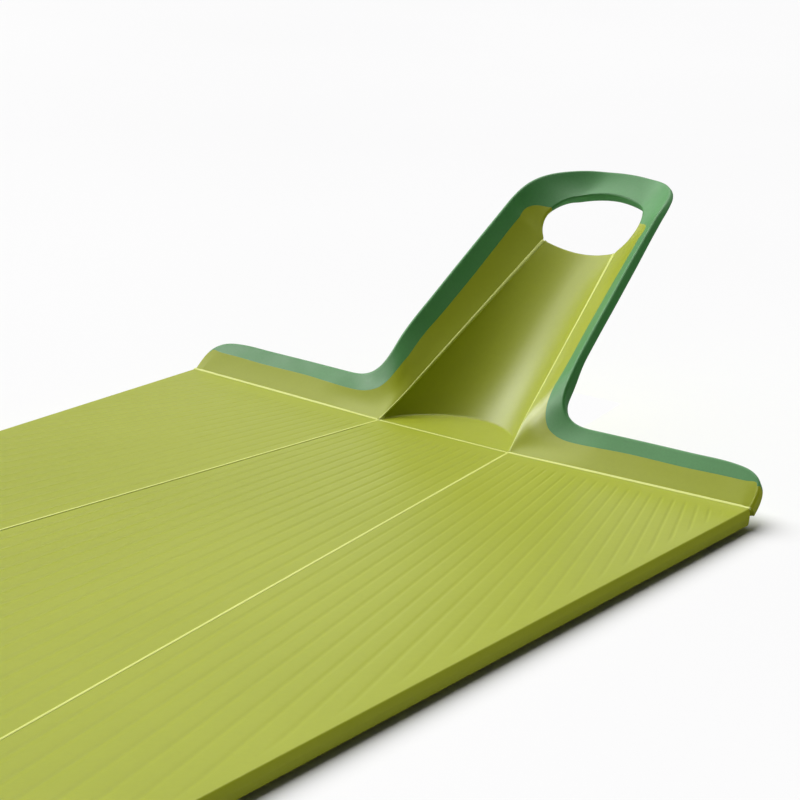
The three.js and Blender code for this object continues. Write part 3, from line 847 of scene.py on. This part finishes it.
plastic_cols = list(range(marks[1], M)) + list(range(0, marks[0] + 1))
band_cols = list(range(marks[0], marks[1] + 1))
base_faces = with_cap(with_cap(strip_part(0, I_SEAM, False), 0, list(range(M)), True), I_SEAM, plastic_cols, False)
base_grip_faces = with_cap(strip_part(0, I_SEAM, True), I_SEAM, band_cols, False)
wing_faces = with_cap(strip_part(I_SEAM, I_ARCH, False), I_SEAM, plastic_cols, True)
wing_grip_faces = with_cap(strip_part(I_SEAM, I_ARCH, True), I_SEAM, band_cols, True)
arch_faces = strip_part(I_ARCH, N_S - 1, True)
for name, part, material, nodes, body in (
    ("base_skin", base_faces, LIME, ("base", "corner_flex"), "base_strip"),
    ("base_grip_skin", base_grip_faces, GREEN, ("base_grip", "corner_grip"), "base_strip"),
    ("wing_skin", wing_faces, LIME, ("wing",), "handle_wing"),
    ("wing_grip_skin", wing_grip_faces, GREEN, ("wing_grip",), "handle_wing"),
):
    for side, ob in both(name, strip_points, part, material, strip_normals).items():
        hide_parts(*(f"{side}_{n}" for n in nodes))
        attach(ob, f"{side}_{body}")
for side, ob in both("arch_skin", strip_points, arch_faces, GREEN, strip_normals).items():
    on = np.array([VX - 112 * TB, 112.0, 0.0])
    across = np.array([CB, SB, 0.0])
    a, b = from_handle(on - across * 2.6), from_handle(on + across * 2.6)
    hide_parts(f"{side}_arch_grip", *(["arch_centre_grip"] if side == "right" else []))
    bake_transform(ob)

# ------------------------------------------------------------------ scoop
def depth_at(a):
    return 13.5 - 0.1257 * a


def trough(q, a):
    t = np.clip(a / HOLE_A, 0, 1)
    return -depth_at(a) * np.maximum(0, 1 - q * q) ** (0.56 + 0.44 * t)


def edge_q(a):
    lo, hi = 0.7, 1.0
    for _ in range(40):
        q = (lo + hi) / 2
        if math.hypot(half_at(a) * (1 - q), float(trough(q, a))) > GAP:
            lo = q
        else:
            hi = q
    return lo


def moon(q):
    lo, hi = 0.0, 40.0
    for _ in range(50):
        a = (lo + hi) / 2
        if -a * ST / CT > trough(q, a):
            lo = a
        else:
            hi = a
    return lo


edge_a = np.linspace(0, 90, 181)
edge_table = np.array([edge_q(a) for a in edge_a])
ACROSS = 96
FLOOR_T = [0, 0.06, 0.2, 0.4, 0.6, 0.75, 0.85, 0.92, 0.96, 0.985]
TROUGH_T = [0, 0.006, 0.014, 0.025, 0.04, 0.06, 0.09] + list(np.linspace(0.13, 1.0, 26))
top_rows = len(FLOOR_T) + len(TROUGH_T)
scoop_top = np.zeros((ACROSS + 1, top_rows, 3))
for j in range(ACROSS + 1):
    kappa = 2 * j / ACROSS - 1
    # Points crowd towards the steep flanks.
    phi = kappa * math.asin(0.985)
    q0 = math.sin(phi)
    start = GAP / CT
    a0 = max(moon(q0), start + 0.12)
    a1 = HOLE_A - 0.5 * (1 - q0 * q0) - 0.75
    rows = [start + (a0 - start) * t for t in FLOOR_T] + [a0 + (a1 - a0) * t for t in TROUGH_T]
    for r, a in enumerate(rows):
        qe = np.interp(a, edge_a, edge_table)
        if a < 3.0:
            k = float(smooth(0.6, 3.0, a))
            qe = (1 - GAP / half_at(a)) * (1 - k) + qe * k
        q = math.sin(kappa * math.asin(qe))
        p1, p2 = -a * ST / CT, float(trough(q, a))
        n = 0.5 * (p1 + p2 + math.sqrt((p1 - p2) ** 2 + 0.18**2)) - 0.5 * (math.sqrt(36 + 0.18**2) - 6)
        scoop_top[j, r] = (q * half_at(a), a, n)
du = np.gradient(scoop_top, axis=0)
dr = np.gradient(scoop_top, axis=1)
scoop_n = unit(np.cross(du, dr))
scoop_n *= np.sign(scoop_n[..., 2:3])
kap = np.abs(np.linspace(-1, 1, ACROSS + 1))[:, None, None]
thick = SHELL * (0.28 + 0.72 * smooth(0.0, 0.16, 1 - kap))
bottom = scoop_top - scoop_n * thick
bottom[:, 0, 1] += 0.9
bottom[:, 1, 1] += 0.5
tang = unit(scoop_top[:, -1] - scoop_top[:, -2])
end_n = scoop_n[:, -1]
end_t = thick[:, 0]
columns_out = []
rounding = [tang * (0.75 * math.sin(f)) - end_n * (end_t / 2 * (1 - math.cos(f))) for f in np.radians([25, 50, 75, 105, 130, 155])]
edge_round = np.stack([scoop_top[:, -1] + r for r in rounding], 1)
front_edge = np.stack([scoop_top[:, 0] * 1.0 - scoop_n[:, 0] * d for d in (0.5, 0.22, 0.05)], 1)
loop = np.concatenate([scoop_top, edge_round, bottom[:, ::-1], front_edge], 1)
K = loop.shape[1]
scoop_points = from_handle(loop).reshape(-1, 3)
scoop_faces = grid(ACROSS + 1, K, close=True)
probe = scoop_points[list(scoop_faces[(ACROSS // 2) * K + top_rows // 2])]
if np.cross(probe[1] - probe[0], probe[2] - probe[0])[2] < 0:
    scoop_faces = [tuple(reversed(f)) for f in scoop_faces]
scoop_normals = area_normals(scoop_points, scoop_faces)
# Side walls under the hinges.
for j in (0, ACROSS):
    for r in range(top_rows - 1):
        under_r = top_rows + len(rounding) + (top_rows - 1 - r)
        f = (j * K + r, j * K + r + 1, j * K + under_r - 1, j * K + under_r)
        scoop_faces.append(f if j else tuple(reversed(f)))
ob = make("scoop_skin", scoop_points, scoop_faces, LIME, scoop_normals)
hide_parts("handle_scoop")
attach(ob, "handle")


# ------------------------------------------------------------------ living hinges
def ribbon(centres, lefts, rights, direction):
    """A bead over a crease: its centre line and the two edges that it joins, in the crease frame."""
    centres, lefts, rights = (np.asarray(v, float) for v in (centres, lefts, rights))
    up = unit(np.cross(np.asarray(direction, float), rights - lefts))
    up *= np.sign(up[:, 2:3])
    l, r = lefts - centres, rights - centres
    rows = [
        centres + l * 1.0 + up * 0.004,
        centres + l * 0.72 + up * 0.05,
        centres + l * 0.38 + up * 0.085,
        centres + up * 0.1,
        centres + r * 0.38 + up * 0.085,
        centres + r * 0.72 + up * 0.05,
        centres + r * 1.0 + up * 0.004,
        centres + r * 1.02 - up * 0.22,
        centres + r * 0.5 - up * 0.42,
        centres - up * 0.46,
        centres + l * 0.5 - up * 0.42,
        centres + l * 1.02 - up * 0.22,
    ]
    pts = np.stack(rows, 1)
    n, m = pts.shape[:2]
    pts = pts.reshape(-1, 3)
    f = grid(n, m, close=True)
    q = pts[list(f[(n // 2) * m + 3])]
    if np.cross(q[1] - q[0], q[2] - q[0]) @ up[n // 2] < 0:
        f = [tuple(reversed(g)) for g in f]
        f += [tuple(range(m)), tuple(range((n - 1) * m, n * m))[::-1]]
    else:
        f += [tuple(range(m))[::-1], tuple(range((n - 1) * m, n * m))]
    return pts, f


def bend(ob, direction, a_side, b_side, reach=0.42):
    """Bakes a hinge bead's placement into its mesh; the bead is not bent."""
    d = np.asarray(b_side, float) - np.asarray(a_side, float)
    h = unit(direction)
    d = unit(d - (d @ h) * h) * reach
    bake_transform(ob)


# Fold lines of the board.
fold3 = np.array([SB, -CB, 0])
along = np.linspace(0.55, -FRONT / CB - 1.1, 140)
mid = np.array([VX, 0, 0]) + along[:, None] * fold3
inward = np.array([CB, SB, 0])
pts, f = ribbon(mid, mid - inward * GAP, mid + inward * GAP, fold3)
for side, ob in both("fold_hinge", pts, f, PALE).items():
    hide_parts(f"{side}_fold_web")
    bend(ob, fold3, -inward, inward)
# Cross crease, outer parts.
back3 = np.array([BACK[0], BACK[1], 0])
idx = [i for i in range(2, I_SEAM + 1) if P[i] < -0.4]
mid = from_handle(C[idx])
mid[:, 2] = 0
strip_edge = loops[idx][:, 0]
end = np.array([[x, (x - VX) * BACK[1] / BACK[0], 0.0] for x in (105.3, 104.8, 104.2, 103.6, 103.0)])
near = np.array([[VX, 0.0, 0.0]]) + back3 * 0.12
mid = np.concatenate([end, mid, near])
lift = [0.0, GAP * CT, GAP * ST]
strip_edge = np.concatenate([end + lift, strip_edge, near + lift])
panel_edge = mid + np.array([BACK_IN[0], BACK_IN[1], 0]) * GAP
pts, f = ribbon(mid, panel_edge, strip_edge, back3)
for side, ob in both("base_hinge_bead", pts, f, PALE).items():
    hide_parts(f"{side}_base_web")
    bend(ob, back3, np.array([*BACK_IN, 0]), np.array([0, CT, ST]))
# Cross crease, under the half-moon.
xs = np.linspace(-VX + 0.5, VX - 0.5, 60)
mid = np.stack([xs, np.zeros(60), np.zeros(60)], 1)
pts, f = ribbon(mid, mid + [0, -GAP, 0], mid + [0, GAP, 0], (1, 0, 0))
ob = make("scoop_hinge", pts, f, PALE)
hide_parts("scoop_web")
bend(ob, (1, 0, 0), (0, -1, 0), (0, 1, 0))
# Handle creases.
idx = [i for i in range(I_SEAM, I_ARCH) if 0.5 < P[i] < P_HOLE - 0.5]
mid = from_handle(C[idx])
edge = []
for i in idx:
    a = P[i] * CB
    q = float(np.interp(a, edge_a, edge_table))
    if a < 3.0:
        k = float(smooth(0.6, 3.0, a))
        q = (1 - GAP / half_at(a)) * (1 - k) + q * k
    p1, p2 = -a * ST / CT, float(trough(q, a))
    edge.append((q * half_at(a), a, max(p1, p2)))
near = from_handle(crease_at(0.12))
mid = np.concatenate([[near], mid])
wing_edge = np.concatenate([[near + [GAP, 0, 0]], loops[idx][:, 0]])
scoop_edge = np.concatenate([[near - [GAP, 0, 0]], from_handle(edge)])
wing_edge = wing_edge + (wing_edge - mid) * 0.15
scoop_edge = scoop_edge + (scoop_edge - mid) * 0.35
for step, share, drop in ((0.35, 1.0, 0.0), (0.6, 0.9, 0.06), (0.8, 0.6, 0.25)):
    tip = mid[len(idx)] + HANDLE_DIR * step - [0, -drop * ST, drop * CT]
    to_scoop, to_wing = scoop_edge[len(idx)] - mid[len(idx)], wing_edge[len(idx)] - mid[len(idx)]
    mid = np.concatenate([mid, [tip]])
    scoop_edge = np.concatenate([scoop_edge, [tip + to_scoop * share]])
    wing_edge = np.concatenate([wing_edge, [tip + to_wing * share]])
pts, f = ribbon(mid, scoop_edge, wing_edge, HANDLE_DIR)
for side, ob in both("wing_hinge_bead", pts, f, PALE).items():
    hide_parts(f"{side}_wing_web")
    bend(ob, HANDLE_DIR, from_handle((-1.0, 0, -1.2)), from_handle((1.0, 0, 0.4)))
# A small round spot where the creases meet.
t = np.linspace(0, 2 * math.pi, 25)[:-1]
prof = [(0.0, 0.09), (0.45, 0.085), (0.8, 0.05), (0.95, -0.03), (0.8, -0.2), (0.5, -0.3), (0.0, -0.32)]
pts = np.array([[VX + r * math.cos(v), r * math.sin(v), z] for r, z in prof for v in t])
f = [tuple(reversed(g)) for g in grid(len(prof), 24, close=True)]
q = pts[list(f[24])]
if np.cross(q[1] - q[0], q[2] - q[0])[2] < 0:
    f = [tuple(reversed(g)) for g in f]
for side, ob in both("crease_spot", pts, f, PALE).items():
    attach(ob, "centre")

# ------------------------------------------------------------------ floor, light and camera
size = 6.0
# The floor is open under the handle, because the folded trough hangs lower than the feet. A second sheet lies below.
gap = to_row([(-24.5, 4, 0), (24.5, 4, 0), (13, 84, 0), (-13, 84, 0)])
square = [(-size, -size, 0), (size, -size, 0), (size, size, 0), (-size, size, 0)]


def paper(name, points, faces, gain):
    mesh = bpy.data.meshes.new(name)
    mesh.from_pydata(points, [], faces)
    ob = bpy.data.objects.new(name, mesh)
    bpy.context.scene.collection.objects.link(ob)
    mat, tree, bsdf = shader(f"{name}_paper")
    co = tree.nodes.new("ShaderNodeTexCoord").outputs["Object"]
    shades = [(at, tuple(gain * v for v in c)) for at, c in ((0.3, (0.885, 0.883, 0.886)), (0.7, (0.9, 0.898, 0.9)))]
    tree.links.new(ramp(tree, noise(tree, co, 3.0, 2.0), shades), bsdf.inputs["Base Color"])
    bsdf.inputs["Roughness"].default_value = 0.9
    bsdf.inputs["Specular IOR Level"].default_value = 0.1
    mesh.materials.append(mat)
    return ob


floor = paper("floor", square + [(x, y, 0) for x, y, _ in gap], [(i, (i + 1) % 4, 4 + (i + 1) % 4, 4 + i) for i in range(4)], 1.0)
# The lower sheet's colour is painted 6.5% lighter to make up for the light that the upper floor keeps off it.
below = paper("floor_below", [(0.15 * x, 0.15 * y, -0.03) for x, y, _ in square], [(0, 1, 2, 3)], 1.065)
below.visible_diffuse = below.visible_glossy = False

world = bpy.data.worlds.new("studio")
bpy.context.scene.world = world
world.use_nodes = True
sky = world.node_tree.nodes["Background"]
sky.inputs["Color"].default_value = (1.0, 1.0, 1.0, 1)
sky.inputs["Strength"].default_value = 0.04


def sun(name, direction, strength, angle):
    data = bpy.data.lights.new(name, "SUN")
    data.energy, data.angle = strength, math.radians(angle)
    ob = bpy.data.objects.new(name, data)
    ob.rotation_mode = "QUATERNION"
    ob.rotation_quaternion = Vector(direction).to_track_quat("Z", "Y")
    bpy.context.scene.collection.objects.link(ob)
    return ob


def lights_only(light, state, pieces=(floor, below)):
    """Whether a light reaches these pieces only, or everything but them."""
    group = bpy.data.collections.new(f"{light.name}_receivers")
    for i, ob in enumerate(pieces):
        group.objects.link(ob)
        group.collection_objects[i].light_linking.link_state = state
    light.light_linking.receiver_collection = group


# Soft boxes behind and to the left: (elevation, azimuth from +X, strength, angular size).
SOFT_BOXES = [
    (62, 90, 1.00, 45),
    (62, 135, 1.25, 45),
    (36, 90, 0.33, 45),
    (36, 150, 0.47, 45),
    (36, 180, 1.34, 45),
    (12, 120, 0.15, 24),
    (12, 210, 1.28, 24),
]
for i, (el, az, strength, width) in enumerate(SOFT_BOXES):
    el, az = math.radians(el), math.radians(az)
    toward = (math.cos(el) * math.cos(az), math.cos(el) * math.sin(az), math.sin(el))
    lights_only(sun(f"soft_box_{i}", toward, strength, width), "EXCLUDE")
# A strip light that only shows in the gloss.
el, az = math.radians(41), math.radians(206)
strip_light = sun("strip_light", (math.cos(el) * math.cos(az), math.cos(el) * math.sin(az), math.sin(el)), 1.8, 20)
strip_light.visible_diffuse = False
lights_only(strip_light, "EXCLUDE", (floor, below, *(bpy.data.objects[n] for n in ("left_base_skin", "left_wing_skin"))))
# A small flagged light near the right-hand corner, which only shows in the gloss.
data = bpy.data.lights.new("corner_light", "POINT")
data.energy, data.shadow_soft_size = 0.36, 0.03
corner_light = bpy.data.objects.new("corner_light", data)
corner_light.location = (-0.106, 0.104, 0.090)
corner_light.visible_diffuse = False
bpy.context.scene.collection.objects.link(corner_light)
lights_only(corner_light, "INCLUDE", [bpy.data.objects[n] for n in ("right_base_skin", "right_wing_skin", "scoop_skin")])
floor.visible_glossy = False
# The floor has a light of its own, which only the board and its strips shade.
floor_light = sun("floor_light", (-0.50, 0.18, 0.85), 3.9, 60)
lights_only(floor_light, "INCLUDE")
shade = bpy.data.collections.new("floor_light_blockers")
for ob in list(bpy.context.scene.collection.objects):
    if ob.name.endswith(("panel_skin", "base_skin", "base_grip_skin", "foot_skin", "fold_hinge", "base_hinge_bead", "scoop_hinge")):
        shade.objects.link(ob)
floor_light.light_linking.blocker_collection = shade

YAW, PITCH, ROLL = -0.638881499, 0.300007733, 0.0248758992
f = np.array([math.sin(YAW) * math.cos(PITCH), math.cos(YAW) * math.cos(PITCH), -math.sin(PITCH)])
r = np.array([math.cos(YAW), -math.sin(YAW), 0])
u = np.cross(r, f)
r2 = r * math.cos(ROLL) + u * math.sin(ROLL)
u2 = -r * math.sin(ROLL) + u * math.cos(ROLL)
cam_data = bpy.data.cameras.new("camera")
cam_data.sensor_width = 36.0
cam_data.lens = 36.0 * 2372.4 / 800
cam_data.clip_start, cam_data.clip_end = 0.01, 50
cam = bpy.data.objects.new("camera", cam_data)
bpy.context.scene.collection.objects.link(cam)
place = to_row((403.14, -564.93, 225.85))
cam.matrix_world = Matrix(
    [[r2[i], u2[i], -f[i], place[i]] for i in range(3)] + [[0, 0, 0, 1]]
)
bpy.context.scene.camera = cam
bpy.context.scene.view_settings.view_transform = "Standard"

bpy.context.view_layer.update()
